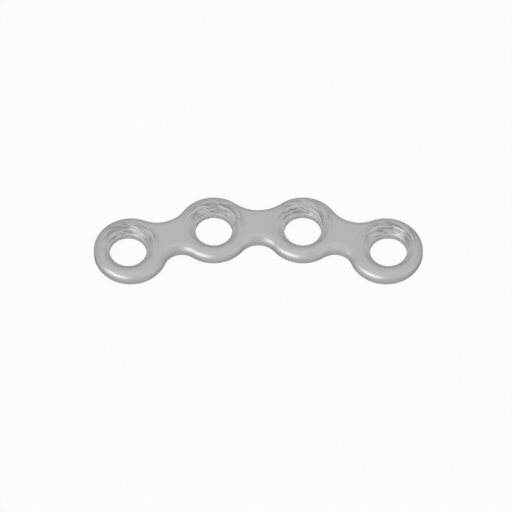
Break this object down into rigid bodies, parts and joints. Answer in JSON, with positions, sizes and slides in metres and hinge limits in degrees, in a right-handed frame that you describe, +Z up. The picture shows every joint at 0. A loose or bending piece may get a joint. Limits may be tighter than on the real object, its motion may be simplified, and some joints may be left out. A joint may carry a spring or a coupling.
{
  "type": "bone plate",
  "caption": "Small curved titanium bone plate: round rings in an arc, each with a countersunk screw hole, joined by narrow scalloped webs.",
  "frame": {"origin": "on the bone side, under the middle of the plate's length and breadth", "axes": "+X along the plate, +Y across it towards its outer bulging side, +Z up through the thickness, away from the bone"},
  "size_m": [0.0222, 0.0066, 0.001],
  "materials": {
    "titanium": "polished titanium, faintly brushed, with turning marks in the countersinks"
  },
  "bodies": {
    "root": {"bone_plate": "titanium"}
  },
  "joints": []
}
